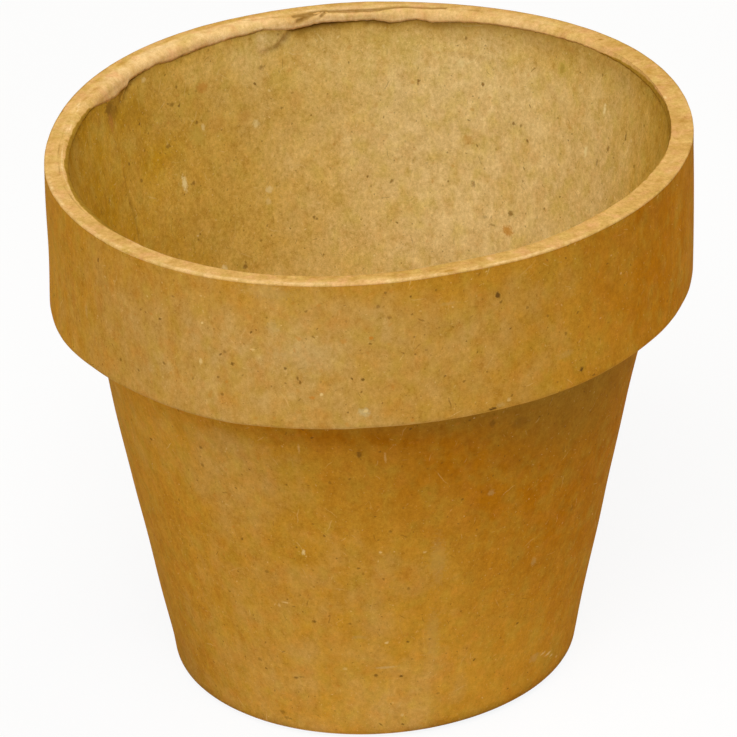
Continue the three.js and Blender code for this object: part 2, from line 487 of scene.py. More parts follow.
def rolledSheet(name, s, frontPath, backPath, side, relief, stainAndShade=None, reach=None, toneAndShade=None):
    widest = frontPath[:, 0].max()
    start = math.radians(s.get("seamAt", 0))
    lap = s.get("lap", 0) * mm / widest
    closed = lap == 0
    angles = columnAngles(s["columns"], start, fullTurn + lap, s.get("fine", ()))
    if closed:
        angles = angles[:-1]
    lift = np.zeros((len(angles), 1))
    if not closed:
        ramp = eased((angles - start - fullTurn) * widest / (s["lapRamp"] * mm) + 1)
        taper = unit(s["lapTip"] + (angles[-1] - angles) * widest / (s["lapTaper"] * mm))
        lift[:, 0] = ramp * taper * s["lapRise"] * mm

    length = pathLength(frontPath)
    backLength = pathLength(backPath)
    turn, along = np.meshgrid(angles, length, indexing="ij")
    longer = np.zeros_like(angles) if reach is None else reach(angles)
    pivot = s.get("pivot", 0.5)
    r, z = stretchedPath(frontPath, length, pivot, longer)
    normalR, normalZ = stretchedPath(pathNormals(frontPath, side), length, pivot, 0 * longer)
    height = relief(turn, along, z) + lift
    front = around(r + normalR * height, turn, z + normalZ * height)
    backR, backZ = stretchedPath(backPath, backLength, pivot, longer)
    backTurn = np.broadcast_to(angles[:, None], backR.shape)
    backNormals = pathNormals(backPath, side)
    backZ = backZ + backNormals[:, 1] * lift
    back = around(backR + backNormals[:, 0] * lift, backTurn, backZ)
    piece = buildSheet(name, front, back, closed)

    u = np.repeat(angles * widest, len(length) + len(backLength))
    v = np.tile(np.concatenate([length, backLength[::-1]]), len(angles))
    storePlaces(piece, np.stack([u, v, 0 * u], 1), fullTurn * widest if closed else 0)
    allTurn = np.concatenate([turn, backTurn], 1)
    allLevel = np.concatenate([z, backZ[:, ::-1]], 1)
    # paper tone, paler or deeper, with painted light and shade; the light spots brighten (painted light) or
    # darken (painted shade) beside the stains
    fade = spotsOn(allTurn, allLevel, s.get("toneAndShadeSpots", ())) + s.get("fade", 0)
    dark = -spotsOn(allTurn, allLevel, s.get("paintedLightSpots", ()))
    if stainAndShade:
        dark[:, :len(length)] += stainAndShade(turn, along, z)
    if toneAndShade:
        fade[:, :len(length)] += toneAndShade(turn, along)
    store(piece, "paperToneAndShade", "POINT", "FLOAT", "value", fade)
    store(piece, "paperShade", "POINT", "FLOAT", "value", dark)
    return piece


def dress(piece, node, material):
    piece.data.materials.append(material)
    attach(piece, "root")
    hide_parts(node)
    print("made", piece.name, len(piece.data.polygons), "faces")


# Materials

def noiseOf(tree, place, scale, detail, stretch=(1, 1, 1), offset=(0, 0, 0), rough=0.55):
    spread = addNode(tree, "Mapping", {"Vector": place, "Scale": stretch, "Location": offset})
    feeds = {"Vector": spread[0], "Scale": scale, "Detail": detail, "Roughness": rough}
    return addNode(tree, "TexNoise", feeds)["Fac"]


def ramp(tree, value, low, high, toLow=0, toHigh=1):
    feeds = {"Value": value, "From Min": low, "From Max": high, "To Min": toLow, "To Max": toHigh}
    return addNode(tree, "MapRange", feeds)["Result"]


def mixColor(tree, share, one, two):
    return addNode(tree, "Mix", {0: share, 6: one, 7: two}, data_type="RGBA")[2]


def mathOf(tree, operation, value, *others):
    for other in others:
        value = addNode(tree, "Math", {0: value, 1: other}, operation=operation)[0]
    return value


def vectorOf(tree, operation, *feeds, out=0):
    return addNode(tree, "VectorMath", dict(enumerate(feeds)), operation=operation)[out]


def lightenPaper(tree, color, light, hue):
    lift = addNode(tree, "VectorMath", {0: hue, "Scale": light}, operation="SCALE")[0]
    return vectorOf(tree, "MULTIPLY_ADD", color, lift, color)


def flecks(tree, sheet, ragged, s):
    spread = addNode(tree, "Mapping", {"Vector": sheet, "Location": (*s["from"], 0)})[0]
    feeds = {"Vector": spread, "Scale": s["perMetre"], "Randomness": 1}
    cells = addNode(tree, "TexVoronoi", feeds, voronoi_dimensions="2D")
    pick = addNode(tree, "SeparateColor", {0: cells["Color"]})
    chosen = mathOf(tree, "LESS_THAN", pick[0], s["share"])
    away = vectorOf(tree, "SUBTRACT", spread, cells["Position"])
    angle = ramp(tree, pick[0], 0, s["share"], 0, fullTurn)
    turned = addNode(tree, "VectorRotate", {"Vector": away, "Angle": angle}, rotation_type="Z_AXIS")[0]
    sized = vectorOf(tree, "MULTIPLY", turned, (1 / (s["long"] * mm), 1 / (s["wide"] * mm), 0))
    far = vectorOf(tree, "LENGTH", sized, out="Value")
    bigger = ramp(tree, pick[1], 0, 1, 1.7, 0.9)
    reach = mathOf(tree, "ADD", mathOf(tree, "MULTIPLY", far, bigger), ragged)
    soft = ramp(tree, reach, 0.55, 1.15, 1, 0)
    fainter = ramp(tree, pick[2], 0, 1, s["faint"], 1)
    return mathOf(tree, "MULTIPLY", soft, chosen, fainter, s["weight"])


def bentSheet(tree, flat, place, s):
    drift = addNode(tree, "TexNoise", {"Vector": place, "Scale": s["bendScale"], "Detail": 1})["Color"]
    centred = vectorOf(tree, "SUBTRACT", drift, (0.5, 0.5, 0.5))
    return vectorOf(tree, "MULTIPLY_ADD", centred, (s["bendReach"], s["bendReach"], 0), flat)


def markOn(tree, place, ragged, mark):
    center, width, height, strength = mark
    sized = vectorOf(tree, "MULTIPLY", vectorOf(tree, "SUBTRACT", place, center),
                     (1 / width, 1 / width, 1 / height))
    reach = mathOf(tree, "ADD", vectorOf(tree, "LENGTH", sized, out="Value"), ragged)
    return ramp(tree, reach, 0.45, 1.05, strength, 0)


paperNoise = {  # waves to a metre, detail, stretch, offset, roughness
    "cloud": (42, 2),
    "mottle": (190, 3, (1, 1, 0.7)),
    "olive": (300, 2, (1, 1, 0.8), (0.3, 0.7, 0.2)),
    "rust": (340, 2, (1, 1, 0.8), (0.9, 0.1, 0.5)),
    "pulp": (330, 5, (1, 1, 0.85), (0.1, 0.4, 0.8), 0.8),
    "grain": (1500, 3, (1, 1, 0.8)),
    "fuzz": (4200, 2),
    "ragged": (2300, 2),
}


def kraftMaterial(name, s, marks=()):
    material = bpy.data.materials.new(name)
    tree = emptyTree(material)
    place = addNode(tree, "TexCoord", {})["Object"]
    flat = addNode(tree, "Attribute", {}, attribute_name="paperPlace")["Vector"]
    fade = addNode(tree, "Attribute", {}, attribute_name="paperToneAndShade")["Fac"]
    shade = addNode(tree, "Attribute", {}, attribute_name="paperShade")["Fac"]
    noise = {kind: noiseOf(tree, place, *row) for kind, row in paperNoise.items()}
    noise["streak"] = noiseOf(tree, flat, 620, 2, s["streakStretch"])

    def swing(kind, low, amount):
        return ramp(tree, noise[kind], low, 1 - low, -amount, amount)

    tone = mathOf(tree, "ADD", fade, swing("cloud", 0.25, s["cloud"]), swing("mottle", 0.25, s["mottle"]))
    color = mixColor(tree, ramp(tree, tone, -1, 0), s["deep"], s["base"])
    color = mixColor(tree, ramp(tree, tone, 0, 1), color, s["pale"])
    color = mixColor(tree, ramp(tree, noise["olive"], 0.46, 0.7, 0, s["oliveShare"]), color, s["olive"])
    color = mixColor(tree, ramp(tree, noise["rust"], 0.5, 0.72, 0, s["rustShare"]), color, s["rust"])
    # below -1 the tone turns to the under colour: painted shade, the lining in shadow under the lip
    color = mixColor(tree, ramp(tree, fade, -2, -1, 1, 0), color, s["under"])
    bright = [swing(kind, 0.2, s[kind]) for kind in ("grain", "pulp", "fuzz", "streak")]
    # negative paperShade lightens the paper: painted light
    light = mathOf(tree, "ADD", *bright, ramp(tree, shade, -1, 0, 1, 0))
    color = lightenPaper(tree, color, light, s["lightHue"])

    sheet = bentSheet(tree, flat, place, s)
    ragged = swing("ragged", 0.2, 0.5)
    weights = {}
    for kind in ("rust", "speck", "flake"):
        weights[kind] = [flecks(tree, sheet, ragged, bits) for bits in s["flecks"][kind]]
        for weight in weights[kind]:
            color = mixColor(tree, weight, color, s[kind])
    for kind, mark in marks:
        color = mixColor(tree, markOn(tree, place, ragged, mark), color, s[kind])
    # paperShade above 0 mixes in the dark colour: painted shade as well as real stains, tears and seams
    color = mixColor(tree, ramp(tree, shade, 0, 1), color, s["shadeAndStain"])

    rough = ramp(tree, noise["grain"], 0.3, 0.7, s["rough"] - s["roughSwing"], s["rough"] + s["roughSwing"])
    noise["flake"] = mathOf(tree, "MAXIMUM", *weights["flake"])
    heights = [mathOf(tree, "MULTIPLY", noise[kind], share) for kind, share in s["relief"].items()]
    height = mathOf(tree, "ADD", *heights)
    bump = addNode(tree, "Bump", {"Strength": s["bump"], "Distance": s["bumpHeight"], "Height": height})
    feeds = {"Base Color": color, "Roughness": rough, "Specular IOR Level": s["gloss"], "Normal": bump[0]}
    paper = addNode(tree, "BsdfPrincipled", feeds)
    addNode(tree, "OutputMaterial", {"Surface": paper[0]})
    return material


# bits in the paper: shift of their cells, cells to a metre, share of the cells that hold one, half length and
# half width in millimetres, weight of the faintest, weight of all
def bitRows(*rows):
    facts = ("from", "perMetre", "share", "long", "wide", "faint", "weight")
    return [dict(zip(facts, row)) for row in rows]


darkBits = bitRows(
    ((0.11, 0.23), 430, 0.26, 0.27, 0.19, 0.12, 0.7),
    ((0.57, 0.71), 950, 0.36, 0.17, 0.13, 0.1, 0.42),
    ((0.41, 0.13), 170, 0.2, 0.38, 0.27, 0.5, 0.85),
    ((0.83, 0.37), 190, 0.18, 1, 0.12, 0.3, 0.55),
)
paleBits = bitRows(
    ((0.63, 0.52), 330, 0.17, 0.3, 0.19, 0.15, 0.5),
    ((0.29, 0.91), 850, 0.36, 0.18, 0.13, 0.1, 0.3),
    ((0.17, 0.45), 135, 0.25, 2.2, 0.13, 0.2, 0.35),
    ((0.77, 0.05), 400, 0.22, 0.7, 0.1, 0.2, 0.3),
)
rustBits = bitRows(
    ((0.36, 0.66), 240, 0.25, 0.6, 0.42, 0.2, 0.55),
)
outerKraftLook = {
    "base": (0.5, 0.235, 0.02),
    "deep": (0.445, 0.16, 0.003),
    "pale": (0.53, 0.32, 0.095),
    "olive": (0.45, 0.265, 0.026),
    "oliveShare": 0.5,
    "rust": (0.54, 0.205, 0.022),
    "rustShare": 0.35,
    "speck": (0.17, 0.075, 0.01),
    "flake": (0.74, 0.52, 0.2),
    "chalk": (0.6, 0.5, 0.27),
    # the dark colour serves painted shade and real stains alike; the under colour is painted shade, the
    # lining in shadow under the lip
    "shadeAndStain": (0.12, 0.05, 0.008),
    "under": (0.36, 0.175, 0.016),
    "lightHue": (1, 1.3, 2.2),
    "cloud": 0.25,
    "mottle": 0.3,
    "pulp": 0.2,
    "grain": 0.13,
    "fuzz": 0.11,
    "streak": 0.03,
    "streakStretch": (1, 0.14, 1),
    "flecks": {"rust": rustBits, "speck": darkBits, "flake": paleBits},
    "bendScale": 420,
    "bendReach": 1.4 * mm,
    "gloss": 0.03,
    "rough": 0.88,
    "roughSwing": 0.06,
    "relief": {"mottle": 1.2, "grain": 0.6, "fuzz": 0.25, "flake": 0.3},
    "bump": 0.35,
    "bumpHeight": 0.12 * mm,
}
busyBits = {
    "rust": rustBits,
    "speck": [dict(bits, share=bits["share"] * 1.25) for bits in darkBits],
    "flake": [dict(bits, share=bits["share"] * 1.5, weight=bits["weight"] * 1.2) for bits in paleBits],
}
liningLook = dict(
    outerKraftLook,
    base=(0.66, 0.415, 0.088),
    deep=(0.54, 0.305, 0.02),
    pale=(0.73, 0.52, 0.2),
    olive=(0.59, 0.42, 0.075),
    rust=(0.6, 0.3, 0.055),
    rustShare=0.25,
    speck=(0.24, 0.125, 0.02),
    flake=(0.86, 0.7, 0.32),
    flecks=busyBits,
    pulp=0.22,
    grain=0.16,
    fuzz=0.13,
)
quietBits = {
    "rust": [dict(bits, weight=0.35) for bits in rustBits],
    "speck": [dict(bits, weight=0.3) for bits in darkBits[:2]],
    "flake": [dict(bits, weight=0.3) for bits in paleBits[:2]],
}
edgeLook = dict(
    outerKraftLook,
    base=(0.69, 0.415, 0.13),
    deep=(0.52, 0.28, 0.05),
    pale=(0.82, 0.56, 0.25),
    olive=(0.66, 0.45, 0.12),
    rust=(0.72, 0.385, 0.15),
    rustShare=0.75,
    speck=(0.34, 0.16, 0.04),
    # the dark colour serves painted shade and real stains alike; the under colour is painted shade, the
    # lining in shadow beyond the strip's pale part
    shadeAndStain=(0.23, 0.105, 0.008),
    under=(0.37, 0.205, 0.022),
    flecks=quietBits,
    mottle=0.45,
    pulp=0.24,
    fuzz=0.1,
    streak=0.06,
    streakStretch=(1, 0.3, 1),
)
boardLook = dict(
    outerKraftLook,
    base=(0.5, 0.33, 0.12),
    deep=(0.42, 0.26, 0.08),
    pale=(0.66, 0.48, 0.2),
    olive=(0.46, 0.32, 0.11),
    rust=(0.52, 0.31, 0.12),
)


def paperMarks(radiusAt, marks):
    rows = [(kind, *row) for kind, places in marks.items() for row in places]
    turns = [(math.radians(row[1]), row[2] * mm) for row in rows]
    centers = shapeByHand([(radiusAt(z) * math.cos(a), radiusAt(z) * math.sin(a), z) for a, z in turns])
    return [(kind, (tuple(center), width * mm, height * mm, strength))
            for (kind, _, _, width, height, strength), center in zip(rows, centers)]


# marks by kind: degrees round the pot, height, half width and half length in millimetres, strength
wallMarks = {
    "pale": [
        (283.2, 42, 1.8, 12, 0.28), (282.8, 25, 1.6, 11, 0.25), (294.7, 54.8, 0.9, 0.8, 0.5),
        (265, 25.2, 1.5, 0.5, 0.35), (309.6, 34.4, 0.8, 1.2, 0.5), (316, 9.4, 1.6, 1.2, 0.5),
    ],
    "chalk": [(271, 17.6, 2.4, 0.35, 0.25)],
    "flake": [
        (271.3, 67.1, 0.28, 3.2, 0.32), (254.1, 69.5, 0.25, 2.4, 0.3), (253, 45.1, 0.36, 0.85, 0.9),
        (270.2, 45.3, 0.35, 0.3, 0.7), (280.1, 44.2, 0.4, 0.3, 0.5), (271.5, 23.6, 0.4, 0.3, 0.7),
        (261, 17.5, 0.6, 0.4, 0.4), (275.6, 5.5, 0.4, 0.5, 0.5), (319.6, 9.1, 0.9, 0.3, 0.6),
        (322.2, 8, 1.1, 0.3, 0.8), (324.1, 6.9, 0.6, 0.4, 0.6), (328, 5, 0.6, 0.4, 0.4),
        (247.3, 32.5, 0.8, 0.25, 0.6), (245.6, 31.6, 0.3, 0.7, 0.4),
    ],
    "speck": [
        (266.2, 68.3, 0.5, 1.3, 0.65), (259.9, 61.8, 0.4, 0.5, 0.5), (293.4, 71, 0.7, 1.1, 0.5),
        (300.2, 69.4, 2.6, 1.7, 0.35), (231.1, 65.3, 0.5, 0.45, 0.6), (230.7, 61.2, 0.5, 0.45, 0.5),
        (238.2, 46.1, 0.35, 0.7, 0.6), (272.4, 50, 0.4, 0.35, 0.5), (254, 28.8, 0.45, 0.4, 0.8),
        (262.8, 28.5, 0.35, 0.3, 0.6), (268.8, 15.7, 0.5, 0.55, 0.75), (275.2, 15.1, 0.4, 0.4, 0.85),
        (247.8, 14.3, 0.5, 0.35, 0.7), (249.3, 14.6, 0.7, 0.2, 0.5), (276.6, 36.2, 0.3, 0.6, 0.5),
        (243.5, 39.3, 0.5, 0.45, 0.45), (237.8, 17, 0.5, 0.6, 0.4), (282.1, 23.3, 0.35, 0.3, 0.5),
        (285.1, 9.5, 0.4, 0.4, 0.5), (320.8, 42.3, 0.6, 0.6, 0.4), (249.4, 31.8, 0.4, 0.3, 0.55),
        (242.5, 4.8, 0.8, 0.6, 0.5), (243.6, 3.6, 0.9, 0.5, 0.4), (266.2, 40.4, 0.3, 0.5, 0.4),
    ],
}
collarMarks = {
    "rust": [(268.9, 96.2, 0.45, 0.4, 0.9), (258.9, 85, 0.6, 0.4, 0.8)],
    "pale": [
        (303.8, 85.7, 2, 0.9, 0.3), (282, 101, 2, 0.4, 0.35), (254.6, 93, 3.4, 0.35, 0.5),
        (227.9, 84.9, 0.6, 0.5, 0.6), (209.9, 89.7, 0.5, 1.6, 0.5),
    ],
    "chalk": [
        (291, 79.7, 1.1, 0.6, 0.15), (267.5, 82, 1.2, 1.1, 0.4), (251.7, 105.1, 6, 1.6, 0.1),
        (252.5, 98.3, 1.5, 1.4, 0.15), (257, 92.6, 6, 3.6, 0.08),
    ],
    "flake": [
        (292.6, 80.4, 0.5, 0.4, 0.5), (260.5, 85.6, 0.42, 0.38, 0.95), (239.4, 97.3, 0.42, 0.38, 0.95),
        (238.9, 89.6, 0.45, 0.7, 0.7), (248.7, 93.6, 0.6, 0.25, 0.6), (267.8, 82.2, 0.5, 0.4, 0.8),
    ],
    "speck": [
        (267.4, 88.2, 0.4, 0.45, 0.85), (268.8, 95.1, 0.32, 0.3, 0.7), (245, 90.3, 0.45, 0.4, 0.8),
        (254.4, 90.4, 0.35, 0.35, 0.8), (256.5, 88.7, 0.28, 0.55, 0.75), (256.9, 87.9, 0.28, 0.5, 0.75),
        (243.6, 92.4, 0.4, 0.35, 0.5), (242.9, 84.1, 0.35, 0.35, 0.6), (300.2, 94.2, 0.35, 0.35, 0.5),
        (296.2, 97, 0.35, 0.35, 0.5), (272, 99.9, 0.5, 0.35, 0.5), (271.4, 104.8, 0.35, 0.3, 0.6),
        (233.5, 101.3, 0.4, 0.35, 0.6), (231.1, 87.2, 0.4, 0.35, 0.6), (220.4, 84.2, 0.4, 0.4, 0.6),
        (242.2, 87.3, 0.35, 0.35, 0.6),
    ],
    "shadeAndStain": [
        (290.7, 100.9, 0.6, 0.75, 0.9), (289.6, 79.3, 0.95, 0.38, 0.9), (307.4, 81.6, 0.55, 0.6, 0.9),
    ],
}
liningMarks = {
    "rust": [
        (152.2, 100.2, 1, 2.8, 1), (124.6, 97.3, 1.6, 1.5, 0.8), (122.1, 89.6, 2.2, 2, 0.35),
        (115.6, 89.6, 2.2, 2, 0.3), (104, 90.7, 2, 2.4, 0.25), (54.6, 65.2, 1.5, 1.3, 0.9),
        (44.7, 104.1, 2.4, 0.7, 0.3), (30.9, 104.5, 2.4, 0.7, 0.3), (66.5, 81.7, 1.4, 1.2, 0.5),
    ],
    "olive": [(127.4, 88.7, 2.2, 2.2, 0.6), (45.4, 99.7, 1.4, 2, 0.9)],
    "flake": [
        (132.8, 80.6, 0.75, 1.9, 1), (139.3, 103.3, 0.7, 0.6, 0.6), (113.1, 87.5, 0.8, 1, 0.6),
        (111.6, 74, 0.9, 0.9, 0.6), (112.1, 71.8, 0.7, 0.8, 0.4), (31.5, 95.5, 0.5, 1.8, 1),
        (35.3, 85.9, 0.6, 1.5, 1), (69, 97, 0.9, 1, 0.5), (125.5, 61.1, 0.8, 1.1, 0.8),
        (125.6, 89.8, 0.5, 0.9, 0.6),
    ],
    "speck": [
        (151.4, 101.8, 2.6, 3, 0.35), (152.1, 102.6, 1.7, 1.4, 0.6), (63.9, 93.2, 0.5, 0.5, 0.85),
        (78, 93, 0.5, 0.4, 0.8), (55.9, 86.5, 0.45, 0.4, 0.8), (54, 86.4, 0.4, 0.35, 0.6),
        (54.4, 68.8, 0.7, 0.7, 0.75), (110.8, 98.2, 0.7, 0.6, 0.6), (132.6, 96.2, 0.7, 0.5, 0.6),
        (127, 91, 0.4, 0.4, 0.7), (135.3, 88.8, 0.8, 0.5, 0.65), (145.7, 85.6, 0.5, 0.5, 0.6),
        (130.4, 79.9, 0.6, 0.6, 0.7), (107.2, 89.6, 0.5, 0.4, 0.6), (28.2, 88.9, 0.5, 0.9, 0.6),
        (45.4, 99.7, 0.7, 1.2, 0.3), (78.1, 92.3, 0.4, 0.6, 0.6), (22.6, 93.4, 0.35, 1.1, 0.7),
        (31.2, 85, 0.4, 1.2, 0.5), (64.6, 73.1, 0.55, 0.8, 0.6), (68.3, 102.1, 0.4, 0.4, 0.7),
        (119.8, 60.2, 0.7, 0.6, 0.8), (101, 66.5, 0.4, 0.4, 0.7), (115, 64.4, 0.4, 0.4, 0.6),
        (58.8, 65.7, 0.8, 0.3, 0.5), (61, 67, 0.7, 0.35, 0.4),
    ],
}
wallKraft = kraftMaterial("wallKraft", outerKraftLook, paperMarks(wrapRadius, wallMarks))
collarKraft = kraftMaterial("collarKraft", outerKraftLook, paperMarks(collarRadius, collarMarks))
liningKraft = kraftMaterial("liningKraft", liningLook, paperMarks(liningRadius, liningMarks))
edgeKraft = kraftMaterial("edgeKraft", edgeLook)
rawBoard = kraftMaterial("rawBoard", boardLook)
print("materials ready")


# Boards inside the pot, shaped by the same hand as the papers over them

boardSettings = {
    "bandHeight": 6 * mm,  # of the bands that a board is cut into, so that it can bend
    "nodes": ("wall_outer_ply", "wall_inner_ply", "base_board",
              "collar_floor_ring", "collar_inner_band", "collar_outer_band"),
}


def shapedBoard(node, s):
    low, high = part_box(node)
    shape = bmesh.new()
    shape.from_mesh(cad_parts[node].data)
    cuts = int((high.z - low.z) / s["bandHeight"])
    for k in range(1, cuts):
        level = (0, 0, low.z + (high.z - low.z) * k / cuts)
        everything = shape.verts[:] + shape.edges[:] + shape.faces[:]
        bmesh.ops.bisect_plane(shape, geom=everything, plane_co=level, plane_no=(0, 0, 1))
    for vert, point in zip(shape.verts, shapeByHand([v.co[:] for v in shape.verts])):
        vert.co = point
    words = node.split("_")
    piece = placed(words[0] + "".join(word.title() for word in words[1:]), meshFrom(node, shape))
    x, y, z = np.array([v.co[:] for v in piece.data.vertices]).T
    out = np.hypot(x, y)
    storePlaces(piece, np.stack([np.arctan2(y, x) * out.max(), z + out, 0 * x], 1))
    dress(piece, node, rawBoard)


for boardNode in boardSettings["nodes"]:
    shapedBoard(boardNode, boardSettings)


# Paper round the wall

wallWrapSettings = {
    "columns": 620,
    "step": 0.75 * mm,
    "backStep": 8 * mm,
    "bend": 2 * mm,
    "seamAt": 100,
    "fine": [(282, 4, 4)],  # degrees, width, how much closer the columns stand
    "ridge": [(0, 282.2), (22, 281.3), (40, 281), (62, 280.6)],  # the lap's edge, height and degrees
    "ridgeRise": 0.09,
    "ridgeWidth": 2.6,
    "ridgeFade": 1.8,
    "ridgeTop": 64,
    "ridgeTopFade": 14,
    "ridgeWobble": 0.3,
    "ridgeWobbleSize": 9,
    "footFade": 6 * mm,
    "middle": 46 * mm,  # radius at which degrees are turned into lengths
    "lumpSize": 14,
    "lump": 0.15,
    "dimpleSize": 5,
    "dimpleSquash": 0.5,
    "dimple": 0.05,
    "seed": 11,
    "fade": -0.05,
    "toneAndShadeSpots": [  # degrees, width, height, reach, amount; paler or deeper paper, largely painted light and shade: paler low at the front, deeper on the right and under the collar
        (262, 40, 4, 26, 0.45), (262, 30, 45, 25, 0.15), (325, 42, 60, 60, -0.5), (272, 45, 78, 12, -0.6),
        (318, 34, 76, 22, -0.8), (300, 60, 80, 6, -0.8), (205, 30, 40, 60, -0.1), (243, 18, 60, 18, 0.28),
        (241, 14, 69, 7, 0.35), (332, 26, 30, 60, -0.4), (300, 28, 64, 13, -0.35), (262, 36, 75, 4, -0.5),
        (212, 16, 3, 6, 0.45),
    ],
    # painted light and shade: degrees, width, height, reach, amount; above 0 brighter, as low at the front,
    # below 0 darker, as under the collar
    "paintedLightSpots": [
        (268, 50, 4, 24, 0.16), (315, 25, 8, 20, 0.09), (220, 22, 69, 12, 0.12), (203, 18, 8, 22, -0.11),
        (318, 34, 78, 14, -0.06), (298, 26, 66, 11, -0.08), (272, 18, 64, 12, -0.04),
        (270, 40, 75, 3.5, -0.08), (205, 14, 3, 6, -0.12),
    ],
    "paintedFootShadow": [  # painted contact shadow along the foot's lower edge: degrees, strength
        (186, 0), (200, 0.6), (225, 0.6), (240, 0.45), (252, 0.15), (275, 0.3), (285, 0.85), (335, 0.95),
        (346, 0),
    ],
    "footShadowHeight": 1.9 * mm,
    "creases": [  # from degrees and height, to degrees and height, width, rise, stain; the stain is painted shade with some dirt along the crease
        (269.5, 17.5, 273, 17.3, 0.5, 0.07, 0), (289, 57, 293, 64, 0.7, 0.06, 0),
        (317.5, 9.8, 325, 6.6, 0.6, 0.14, 0),
    ],
}


def wallWrap(s):
    low = wrapLow.z
    top = wrapHigh.z
    front, back = wrapPaths(s, wrapRadius(top), top, wrapRadius(low), low, wrapTurnIn, wallSlope)

    def relief(turn, along, level):
        lumps = pastedPaper(s, turn, along) + creases(turn, level, s["middle"], s["creases"])[0]
        edge = np.interp(level / mm, *zip(*s["ridge"]))
        past = wrapped(turn - np.radians(edge)) * s["middle"] / mm
        past = past - lattice(turn * 0, level, s["ridgeWobbleSize"], s["middle"], 13) * s["ridgeWobble"]
        ridge = unit(past / 0.5 + 0.5) * unit((s["ridgeWidth"] - past) / s["ridgeFade"])
        ridge = ridge * unit((s["ridgeTop"] - level / mm) / s["ridgeTopFade"])
        return (lumps + ridge * s["ridgeRise"]) * mm * unit(level / s["footFade"])

    # painted contact shadow along the foot
    def stainAndShade(turn, along, level):
        return byDegrees(turn, s["paintedFootShadow"]) * bell(level / s["footShadowHeight"])

    piece = rolledSheet("wallWrapPaper", s, front, back, 1, relief, stainAndShade)
    dress(piece, "wall_wrap_paper", wallKraft)


wallWrap(wallWrapSettings)


# Paper round the collar

collarWrapSettings = {
    "columns": 620,
    "step": 0.6 * mm,
    "backStep": 8 * mm,
    "bend": 0.9 * mm,
    "seamAt": 60,
    "lap": 9,  # millimetres that the paper's end lies over its start
    "lapRamp": 8,
    "lapRise": 0.2,
    "lapTaper": 1.5,
    "lapTip": 0.35,  # share of the rise that is left at the very end
    "fine": [(60, 2, 2)],
    "middle": 60 * mm,  # radius at which degrees are turned into lengths
    "lumpSize": 16,
    "lump": 0.13,
    "dimpleSize": 5,
    "dimpleSquash": 0.6,
    "dimple": 0.05,
    "seed": 21,
    "topFade": 3 * mm,
    "fade": 0.05,
    # paler or deeper paper, largely painted light and shade: paler at the front, deeper on the right
    "toneAndShadeSpots": [
        (257, 36, 92, 40, 0.6), (215, 22, 92, 40, 0.15), (300, 20, 92, 40, 0.15), (335, 34, 92, 40, -0.7),
        (190, 14, 92, 40, -0.2), (278, 45, 108, 7, -0.45), (330, 24, 92, 40, -0.3), (305, 16, 83, 10, 0.15),
        (245, 12, 90, 12, 0.15),
    ],
    # painted light and shade: above 0 brighter, below 0 darker
    "paintedLightSpots": [
        (222, 22, 93, 30, -0.09), (189, 10, 92, 30, 0.1), (300, 34, 106, 9, -0.06), (325, 16, 86, 14, 0.08),
        (342, 10, 96, 20, 0.1),
    ],
    "creases": [(251, 90.5, 258.5, 89.2, 0.5, 0.08, 0)],
}


def collarWrap(s):
    front, back = wrapPaths(s, rimRadius, boardTop, rimRadius + collarFlare, collarFoot, collarTurnIn)

    def relief(turn, along, level):
        lumps = pastedPaper(s, turn, along) + creases(turn, level, s["middle"], s["creases"])[0]
        return lumps * mm * unit((boardTop - level) / s["topFade"])

    piece = rolledSheet("collarWrapPaper", s, front, back, 1, relief)
    dress(piece, "collar_wrap_paper", collarKraft)


collarWrap(collarWrapSettings)


# Paper over the rim

